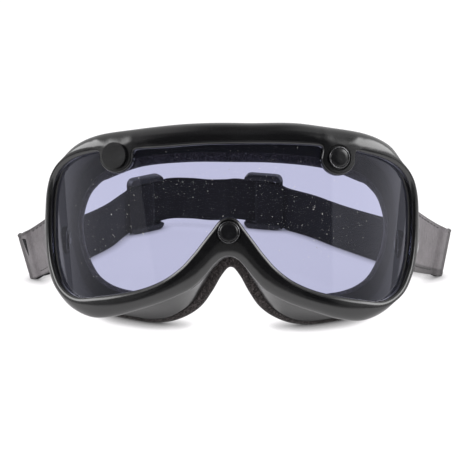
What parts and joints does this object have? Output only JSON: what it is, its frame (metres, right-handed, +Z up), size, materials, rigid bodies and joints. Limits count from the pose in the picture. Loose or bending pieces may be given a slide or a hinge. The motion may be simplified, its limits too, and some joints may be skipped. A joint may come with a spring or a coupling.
{
  "type": "wrap-round goggles",
  "caption": "Wrap-round goggles with a smoke lens on snaps, a padded face lining, stitched leather side tabs and an elastic strap with sliding adjusters.",
  "frame": {"origin": "on the ground plane, under the middle of the overall box", "axes": "+Z up, -Y out of the lens towards the viewer, +X to the viewer's right"},
  "size_m": [0.2272, 0.1808, 0.1052],
  "materials": {
    "moulded_rubber": "satin black",
    "knit_lining": "dark knit over foam",
    "smoke_lens": "pale blue-grey smoke",
    "cap_black": "black enamel with a bare edge ring",
    "snap_steel": "plain",
    "tab_leather": "grained, sewn near its edges",
    "strap_elastic": "woven elastic",
    "slider_plastic": "black"
  },
  "bodies": {
    "frame": {"frame_shell": "moulded_rubber", "face_lining": "knit_lining", "left_snap_cap": "cap_black", "right_snap_cap": "cap_black", "nose_snap_cap": "cap_black", "left_snap_socket": "snap_steel", "right_snap_socket": "snap_steel", "nose_snap_socket": "snap_steel", "left_rivet": "snap_steel", "right_rivet": "snap_steel", "left_rivet_burr": "snap_steel", "right_rivet_burr": "snap_steel"},
    "lens": {"lens": "smoke_lens", "left_snap_stud": "snap_steel", "right_snap_stud": "snap_steel", "nose_snap_stud": "snap_steel", "left_snap_eyelet": "snap_steel", "right_snap_eyelet": "snap_steel", "nose_snap_eyelet": "snap_steel"},
    "strap": {"elastic_strap": "strap_elastic", "left_tab_outer": "tab_leather", "right_tab_outer": "tab_leather", "left_tab_backing": "tab_leather", "right_tab_backing": "tab_leather"},
    "left_slider": {"left_slider": "slider_plastic", "left_sewn_end": "strap_elastic"},
    "right_slider": {"right_slider": "slider_plastic", "right_sewn_end": "strap_elastic"}
  },
  "joints": [
    {"name": "strap_swing", "type": "hinge", "parent": "frame", "child": "strap", "pos_m": [-0.00049, -0.03277, 0.03479], "axis": [1, 0, 0], "range_deg": [-30, 60]},
    {"name": "lens_unsnap", "type": "slide", "parent": "frame", "child": "lens", "axis": [0, 0.9397, -0.342], "range_m": [0, 0.004]},
    {"name": "left_slider_slide", "type": "slide", "parent": "strap", "child": "left_slider", "axis": [0.809, 0.5878, 0], "range_m": [-0.003, 0.003]},
    {"name": "right_slider_slide", "type": "slide", "parent": "strap", "child": "right_slider", "axis": [0.9781, -0.2079, 0], "range_m": [-0.003, 0.003]}
  ]
}
